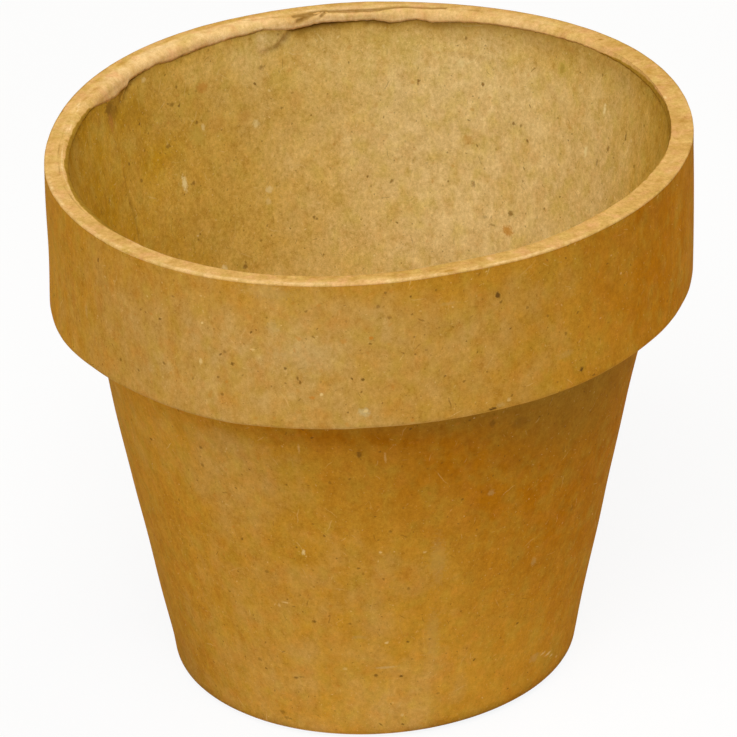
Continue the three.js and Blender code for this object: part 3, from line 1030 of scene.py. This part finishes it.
rimEdgeSettings = {
    "columns": 1500,
    "step": 0.17 * mm,
    "backStep": 0.8 * mm,
    "middle": 57 * mm,
    "edgeBend": 0.25 * mm,
    "lipBend": 1.75 * mm,
    "seamAt": 150,
    "pivot": 0.45,  # share of the path beyond which the lip's reach is taken up
    "feather": 0.24,  # thinning of the lip's edge
    "featherOver": 0.5 * mm,
    "skirt": 0.25 * mm,  # how far the strip is tucked down behind the collar's paper
    "tuckIn": 0.1 * mm,
    "fine": [(98, 10, 2.2), (80, 12, 1.5), (140, 14, 1.4)],
    "lump": 0.06,
    "wobble": 0.08,  # of the outer corner
    "ribs": 0.025,
    "scallop": 0.05,  # of the lip's lower edge
    "ragged": 0.07,
    "lipReach": [  # degrees, change of the lip's depth in millimetres
        (0, -0.6), (40, -0.6), (50, -0.55), (60, -0.45), (66, -0.35), (72, 0.15), (75.5, 0.35), (78.6, -0.2),
        (83.7, 0.7), (87.3, 0.05), (92.8, 0.18), (97.4, -0.05), (102.1, 0.55), (105, 0.6), (109.6, -0.3),
        (114, 0.05), (122, 0.3), (127.6, 0.5), (130, 0.6), (132, 0.5), (135.2, 0.05), (137.4, 0.3),
        (139.5, 0.2), (142, 0.25), (143.7, 0.4), (144.4, 1.1), (146.4, 1.15), (148.6, 1.45), (150.8, 1.25),
        (152.7, 0.95), (154.7, 0.55), (157.2, -0.1), (160, -0.35), (170, -0.5), (200, -0.5), (215, -0.2),
        (330, -0.2), (345, -0.6), (360, -0.6),
    ],
    "paleDown": [  # degrees, how far in over the rim the strip stays pale, in millimetres from its outer end; beyond that the strip is painted in the under colour, painted shade like the lining in shadow
        (0, 4.6), (8, 4.7), (20, 5), (30, 5.35), (35, 5.8), (41, 9), (155, 9), (157, 6.3), (158.5, 5.7),
        (160, 5.3), (163, 5.1), (165, 5), (170, 4.75), (175, 4.7), (178, 4.5), (185, 4.35), (190, 4.4),
        (200, 3.6), (210, 3.6), (220, 3.9), (230, 4.1), (260, 4.6), (350, 4.5), (360, 4.6),
    ],
    "corner": [  # degrees, how square the inner corner is: 0 is a full roll
        (0, 0.85), (20, 0.85), (30, 0.5), (42, 0), (190, 0), (205, -0.2), (262, -0.2), (272, 0.15),
        (282, 0.5), (300, 0.55), (310, 0.8), (318, 0.95), (340, 0.95), (350, 0.85), (360, 0.85),
    ],
    "groove": 3.15,  # millimetres from the strip's outer end, over the joint of the boards
    "grooveDepth": 0.1,
    "grooveWidth": 0.45,
    "tears": [  # lines in degrees and millimetres from the strip's outer end
        {"line": [
            (73.5, 2.8), (76, 3.1), (79, 3.25), (82, 3.15), (84, 3.4), (86, 3.8), (88, 4.15), (91, 4.2),
            (94, 4), (96, 3.85), (97, 3.67), (98.5, 3.55), (100, 3.9), (101, 4.15), (103, 3.95),
        ], "depth": 0.3, "dark": 0.76, "width": 0.4},
        {"line": [(96.5, 3.93), (97, 4.44), (97.7, 5)], "depth": 0.2, "dark": 0.68, "width": 0.28},
        {"line": [
            (98, 3.93), (99.5, 4.44), (101.5, 5.04), (102.5, 5.09),
        ], "depth": 0.26, "dark": 0.66, "width": 0.38},
        {"line": [(104, 3.9), (108, 3.2), (113, 2.6)], "depth": 0.06, "dark": 0.2, "width": 0.16},
    ],
    "tearDarkest": 0.85,
    "seamDark": 0.28,
    "tones": {  # how pale the paper is, above 0, or how deep; the pale outer edge at the front is wear with a painted highlight, the inner slope has painted shade at the front and painted light at the back
        "worn": 0.7, "frontInsideShade": -0.75, "backInsideLight": 0.5, "backOutside": -0.7, "backEdge": -0.6,
        "right": -0.35,
    },
    "blots": [  # degrees, half width, millimetres from the outer end, half height, fade
        (153.5, 1.2, 3.2, 0.45, -1), (158, 1.2, 3, 0.4, -0.8), (162.1, 0.8, 3.2, 0.3, -0.8),
        (164.8, 0.4, 2.7, 0.5, -0.9), (169.8, 0.7, 2, 0.3, -0.6), (175.4, 0.4, 4.3, 0.5, -0.9),
        (155, 2, 1.8, 0.4, -0.6), (150, 2, 2.2, 0.5, -0.7), (143, 2.5, 2.4, 0.5, -0.6),
        (136, 1.5, 1.6, 0.5, -0.6), (130, 2, 2.2, 0.5, -0.7), (118, 1.4, 1.8, 0.3, -0.7),
        (112, 1, 2.2, 0.4, 0.8), (160.6, 0.6, 2.9, 0.14, 1.3), (161.8, 0.6, 3.3, 0.14, 1.4),
        (163, 0.5, 3.65, 0.14, 1.2), (167.5, 0.25, 3.9, 1, 0.9), (171.5, 1.2, 3.6, 0.2, 0.8),
        (170.5, 1.5, 4.1, 0.16, 1.6), (38, 0.4, 2.6, 0.35, -1.6), (20, 0.8, 3.6, 0.4, -0.6),
        (91, 4.5, 4.95, 0.35, 0.5), (87.5, 3.5, 3.75, 0.22, 1.5), (94, 2.2, 3.6, 0.2, 1.4),
        (99, 1.5, 3.1, 0.22, 1.2), (90, 11, 5.9, 0.45, 0.8), (110, 9, 5.9, 0.4, 0.5),
        (183, 6, 3.85, 0.14, 1.2), (197, 7, 3.9, 0.14, 1), (222, 8, 4.1, 0.2, 0.8),
        (337, 1.5, 1.8, 0.5, 0.8), (341, 1, 2.6, 0.6, 0.6), (333, 1, 2.2, 0.5, -0.4),
        (292, 1, 0.8, 0.25, 1.2), (296.5, 1.4, 0.8, 0.22, 1.2), (300.5, 0.8, 0.8, 0.2, 1),
        (8, 0.6, 4.3, 0.25, 1.5), (290.3, 0.6, 3, 0.8, 1.4), (282.5, 1.2, 1.2, 0.5, -1.6),
        (287.5, 1, 0.8, 0.3, -1.2), (224, 2.5, 0.7, 0.3, -1.4),
    ],
    "nicks": [  # the same, with how dark they are
        (163.8, 0.35, 0.55, 0.3, 0.8), (38, 0.3, 2.7, 0.25, 0.5), (179, 2.6, 3, 0.12, 0.6),
        (186.5, 2.2, 3.2, 0.12, 0.45), (200, 4.5, 3.25, 0.12, 0.4), (67.6, 1.6, 2.65, 0.32, 0.45),
        (8, 0.5, 4.9, 0.3, 0.5), (282.5, 1.3, 0.7, 0.2, 0.35), (287.6, 0.5, 0.7, 0.2, 0.4),
        (153.2, 1.5, 3.5, 0.4, 0.18), (158.4, 1, 3.2, 0.3, 0.14), (101.6, 0.6, 4.6, 0.5, 0.25),
    ],
}


def rimEdge(s):
    t = paperThickness
    under = potHeight - t
    low = edgeLow.z
    middle = s["middle"]
    tuck = under - s["skirt"]
    hair = 0.02 * mm  # a bend too small to see
    outer = [(rimRadius - s["tuckIn"], tuck), (rimRadius, under + hair), (rimRadius, potHeight),
             (lipRadius(potHeight), potHeight), (lipRadius(low), low)]
    inner = [(rimRadius - 2 * s["tuckIn"], tuck), (rimRadius - 2.5 * s["tuckIn"], under),
             (lipRadius(under) + t, under), (lipRadius(low) + t, low)]
    front = roundedPath(outer, [hair, s["edgeBend"], s["lipBend"]], s["step"])
    back = roundedPath(inner, [hair, s["lipBend"] - t], s["backStep"])
    flat = front[:, 1] > potHeight - hair / 20
    halfBend = (math.pi / 2 - math.atan(wallSlope)) / 2
    bendEdge = lipRadius(potHeight) + s["lipBend"] * math.tan(halfBend)
    bendStart = float(np.interp(-bendEdge, -front[flat, 0], pathLength(front)[flat]))

    def alongRim(turn, size, seed):
        return lattice(turn, np.zeros_like(turn), size, middle, seed)

    def tearLines(turn, along):
        shaken = along + alongRim(turn, 0.9, 35) * 0.07 * mm + alongRim(turn, 2.6, 39) * 0.08 * mm
        return [lineAway(turn, shaken, middle, tear["line"]) / tear["width"] for tear in s["tears"]]

    def blotsOn(turn, along, rows):
        return spotsOn(turn, along, rows, middle / mm)

    def relief(turn, along, level):
        onTop = unit((along / mm - 0.6) / 0.8)
        grooveLine = bell((along / mm - s["groove"]) / s["grooveWidth"])
        grooveDepth = s["grooveDepth"] * (0.6 + 0.4 * alongRim(turn, 4, 34))
        lumps = lattice(turn, along, 5, middle, 31) * s["lump"] - grooveLine * grooveDepth
        lumps = lumps + lattice(turn, along * 0.12, 1.1, middle, 36) * s["ribs"]
        outerCorner = bell((along / mm - 0.75) / 0.5) * (0.2 + 0.8 * unit(0.3 - np.sin(turn)))
        wobble = alongRim(turn, 2.4, 32) + 0.7 * alongRim(turn, 0.9, 33)
        lumps = lumps * onTop + wobble * outerCorner * s["wobble"]
        for tear, away in zip(s["tears"], tearLines(turn, along)):
            lumps = lumps - tear["depth"] * (bell(away) - 0.4 * bell((away - 2.4) / 1.4))
        lumps = lumps - s["feather"] * unit((along - along.max()) / s["featherOver"] + 1) ** 2
        bent = np.clip((along - bendStart) / s["lipBend"], 0, 2 * halfBend)
        square = s["lipBend"] / mm * (1 / np.cos(halfBend - np.abs(bent - halfBend)) - 1)
        return (lumps + square * byDegrees(turn, s["corner"])) * mm

    def stainAndShade(turn, along, level):
        tears = sum(tear["dark"] * unit(1.5 * bell(away))
                    for tear, away in zip(s["tears"], tearLines(turn, along)))
        seam = bell((along / mm - s["groove"] - alongRim(turn, 3, 43) * 0.2) / 0.14)
        seam = seam * unit(0.5 + alongRim(turn, 1.5, 44)) * bell(np.degrees(turnFrom(188, turn)) / 22)
        # painted light: the rim is lightened at the back
        paintedBackLight = 0.08 * bell(turnFrom(138, turn) / 0.75) + 0.04 * unit(np.sin(turn))
        outline = unit((0.8 - along / mm) / 0.2) * unit(3 * np.sin(turn))
        nicks = blotsOn(turn, along, s["nicks"])
        return np.clip(tears, 0, s["tearDarkest"]) + s["seamDark"] * seam + 0.5 * outline + nicks - paintedBackLight

    def toneAndShade(turn, along):
        tones = s["tones"]
        degrees = np.degrees(turn) % 360
        across = along / mm
        onFront = unit(0.5 - 1.2 * np.sin(turn))
        onBack = unit(1.4 * np.sin(turn) - 0.1)
        inward = unit(across - 1.5)
        # the pale outer edge at the front: wear with a painted highlight
        worn = tones["worn"] + 0.45 * alongRim(turn, 3, 45) + 0.4 * alongRim(turn, 0.8, 47)
        worn = worn * bell((across - 0.85) / 0.34) * onFront * unit((325 - degrees) / 40)
        outerPart = unit((2.6 - across) / 0.5) * bell((degrees - 130) / 38)
        # the inner slope: painted shade at the front, painted light at the back
        tone = worn + tones["frontInsideShade"] * inward * bell((degrees - 268) / 24)
        tone = tone + tones["backInsideLight"] * inward * onBack + tones["backOutside"] * outerPart
        tone = tone + tones["backEdge"] * bell((across - 0.62) / 0.3) * onBack
        tone = tone + tones["right"] * unit(np.cos(turn)) + blotsOn(turn, along, s["blots"])
        paleEnd = byDegrees(turn, s["paleDown"]) + alongRim(turn, 1.6, 46) * 0.12
        # past the pale part the strip takes the under colour: painted shade
        past = unit((across - paleEnd) / 0.22)
        return np.clip(tone, -1, 1.5) * (1 - past) - 2 * past

    def reach(angles):
        swell = alongRim(angles, 5.5, 37) + 0.5 * alongRim(angles, 2.1, 38)
        ragged = alongRim(angles, 0.7, 40) * s["ragged"]
        return (byDegrees(angles, s["lipReach"]) + swell * s["scallop"] + ragged) * mm

    piece = rolledSheet("rimEdgePaper", s, front, back, -1, relief, stainAndShade, reach, toneAndShade)
    dress(piece, "rim_edge_paper", edgeKraft)


rimEdge(rimEdgeSettings)


# Lining

liningSettings = {
    "columns": 640,
    "step": 1 * mm,
    "fineStep": 0.42 * mm,
    "fineFrom": 88 * mm,
    "lipLevel": 105.1,  # of the lip's lower edge, in millimetres
    "bend": 1.6 * mm,
    "backBend": 0.2 * mm,
    "backStep": 8 * mm,
    "underTop": 0.5 * mm,
    "seamAt": 228,
    "middle": 50 * mm,  # radius at which degrees are turned into lengths
    "lumpSize": 15,
    "lump": 0.22,
    "dimpleSize": 5,
    "dimpleSquash": 0.6,
    "dimple": 0.07,
    "seed": 41,
    "footFade": 6 * mm,
    "pressedUnder": [  # degrees, share: pressed up to the lip
        (0, 1), (78, 1), (92, 0), (178, 0), (200, 1), (360, 1),
    ],
    "pressedRise": 0.11,
    "pressedFrom": 101.5,
    "pressedOver": 2.5,
    "fine": [(109, 5, 4), (151, 4, 3)],
    "fade": 0.1,
    # painted light and shade: above 0 brighter, below 0 darker, as just under the lip
    "paintedLightSpots": [
        (72, 42, 86, 20, 0.08), (60, 22, 63, 8, 0.06), (125, 26, 67, 14, -0.09), (119, 14, 92, 7, -0.07),
        (148, 12, 84, 6, 0.08), (160, 10, 97, 8, 0.1), (28, 14, 98, 6, -0.06), (54, 20, 101.5, 2.5, -0.08),
        (122, 11, 101, 3, 0.08), (93, 14, 101, 2.5, -0.07), (146, 7, 100, 3, -0.07),
    ],
    # paler or deeper paper, largely painted light and shade: paler on the lit back wall, deeper on the shaded
    # left and right walls
    "toneAndShadeSpots": [
        (72, 42, 84, 22, 0.35), (55, 50, 88, 42, 0.7), (100, 30, 55, 30, 0.2), (165, 42, 80, 60, -0.95),
        (2, 18, 90, 40, -0.9), (138, 9, 88, 3.5, -0.5), (60, 20, 62, 9, 0.4), (122, 25, 66, 12, -0.3),
        (50, 10, 101, 3, -0.5), (108.5, 3.5, 103, 1.8, 1), (123, 10, 101, 3, 0.3), (146, 8, 99, 4, -0.4),
    ],
    "underLipShadeAndDirt": [  # degrees, strength and depth in millimetres of the dark band under the lip: painted shade, with some dirt
        (0, 0.2, 2.5), (20, 0.3, 3), (40, 0.4, 2.5), (50, 0.6, 2.2), (55, 0.6, 1.8), (62, 0.75, 1.8),
        (75, 0.85, 1.7), (80, 0.8, 1.4), (85, 0.75, 1.3), (90, 0.85, 1.3), (97, 1, 1.5), (102, 1, 1.8),
        (104, 0.5, 1.6), (110, 0.3, 1.2), (125, 0.15, 1.2), (135, 0.15, 1.2), (148, 0.15, 1.6),
        (160, 0.15, 2), (180, 0.2, 2), (360, 0.2, 2.5),
    ],
    "bandDark": 0.8,
    "bandFade": -1.2,
    "creaseRadius": 54 * mm,
    # columns as for the wall's creases; the stain is painted shade with some dirt along the crease
    "creases": [
        (151.4, 90, 151.3, 83.3, 0.36, -0.1, 0.18), (151.3, 83.3, 150.4, 79.6, 0.36, -0.12, 0.34),
        (150.4, 79.6, 150.7, 75.2, 0.36, -0.1, 0.22), (139.2, 104.8, 142.6, 104.7, 0.8, -0.1, 0.24),
        (142.6, 104.7, 144.8, 103.7, 0.9, -0.2, 0.26), (144.8, 103.7, 146.4, 102.3, 1.1, -0.25, 0.22),
        (146.4, 102.3, 149.6, 100.6, 1.5, -0.2, 0.15), (95, 104.6, 99.5, 104.5, 0.5, 0, 0.22),
        (84, 104.4, 88.5, 104.5, 0.45, 0, 0.28), (72, 104.3, 78, 104.2, 0.5, 0, 0.08),
        (103.4, 104.4, 105.2, 102.6, 0.6, -0.1, 0.2), (105.2, 102.6, 107.2, 101.2, 0.6, -0.1, 0.2),
        (107.2, 101.2, 110.4, 100.6, 0.7, -0.06, 0.12), (53.9, 101.7, 45, 93.8, 0.8, 0.14, 0),
        (73, 99.4, 58, 98.6, 0.7, 0.12, 0.04), (143, 101, 137, 94, 2, 0.18, 0),
        (112, 99, 121, 84, 3, 0.2, 0),
    ],
    "pleatRadius": 55 * mm,
    "pleat": {
        "corners": [(112, 105.5), (103.7, 105.5), (103.9, 104.4), (107.3, 101.2), (112, 100.7)],
        "soft": [0.6, 0.5, 0.6, 0.8, 2.5],
        "rise": 0.26,
    },
}


def lining(s):
    t = paperThickness
    top = liningTop - s["underTop"]
    low = liningCorner
    split = s["fineFrom"]
    upper = straightPath((liningRadius(top), top), (liningRadius(split), split), s["fineStep"])
    corners = [(liningRadius(split), split), (liningRadius(low), low), (liningFlange, low)]
    front = np.concatenate([upper[:-1], roundedPath(corners, [s["bend"]], s["step"])])
    rear = [(liningRadius(top) + t, top), (liningRadius(low) + t, low - t), (liningFlange, low - t)]
    back = roundedPath(rear, [s["backBend"]], s["backStep"])

    def relief(turn, along, level):
        lumps = pastedPaper(s, turn, along)
        pressed = unit((level / mm - s["pressedFrom"]) / s["pressedOver"])
        lumps = lumps + (s["pressedRise"] - lumps) * pressed * byDegrees(turn, s["pressedUnder"])
        lumps = lumps + creases(turn, level, s["creaseRadius"], s["creases"])[0]
        lumps = lumps + pleat(turn, level, s["pleatRadius"], s["pleat"])
        return lumps * mm * unit((level - low) / s["footFade"])

    def lipShadeAndDirt(turn, along):
        lipEdge = top / mm - s["lipLevel"] + byDegrees(turn, rimEdgeSettings["lipReach"])
        below = np.clip(along / mm - lipEdge, 0, None) / byDegrees(turn, s["underLipShadeAndDirt"], 2)
        return byDegrees(turn, s["underLipShadeAndDirt"]) * np.exp(-below ** 1.5)

    def stainAndShade(turn, along, level):
        lines = creases(turn, level, s["creaseRadius"], s["creases"])[1]
        # and the dark band under the lip: painted shade, with some dirt
        return lines + s["bandDark"] * lipShadeAndDirt(turn, along)

    def toneAndShade(turn, along):
        # the band under the lip is also deepened in tone: painted shade
        return s["bandFade"] * lipShadeAndDirt(turn, along)

    piece = rolledSheet("liningPaper", s, front, back, -1, relief, stainAndShade, None, toneAndShade)
    dress(piece, "lining_paper", liningKraft)


lining(liningSettings)


# Paper discs inside and under the foot

discSettings = {
    "columns": 180,
    "step": 1.4 * mm,
    "lump": 0.08,
    "lumpSize": 9,
    "edgeFade": 6 * mm,
}


def paperDisc(s, name, node, material, faceUp, seed):
    low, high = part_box(node)
    radius = ringRadii(node, low.z)[1]
    face, rear = (high.z, low.z) if faceUp else (low.z, high.z)
    front = straightPath((radius, face), (0, face), s["step"])
    back = np.array([(radius, rear), (0, rear)])

    def relief(turn, along, level):
        lumps = lattice(turn, along, s["lumpSize"], radius * 0.6, seed) * s["lump"] * mm
        return lumps * unit((radius - along) / s["edgeFade"]) * faceUp

    piece = rolledSheet(name, s, front, back, -1 if faceUp else 1, relief)
    shape = bmesh.new()
    shape.from_mesh(piece.data)
    bmesh.ops.remove_doubles(shape, verts=shape.verts[:], dist=0.001 * mm)
    shape.to_mesh(piece.data)
    shape.free()
    storePlaces(piece, np.array([v.co[:] for v in piece.data.vertices]))
    dress(piece, node, material)


paperDisc(discSettings, "floorPaper", "floor_paper", liningKraft, True, 51)
paperDisc(discSettings, "undersidePaper", "underside_paper", wallKraft, False, 52)
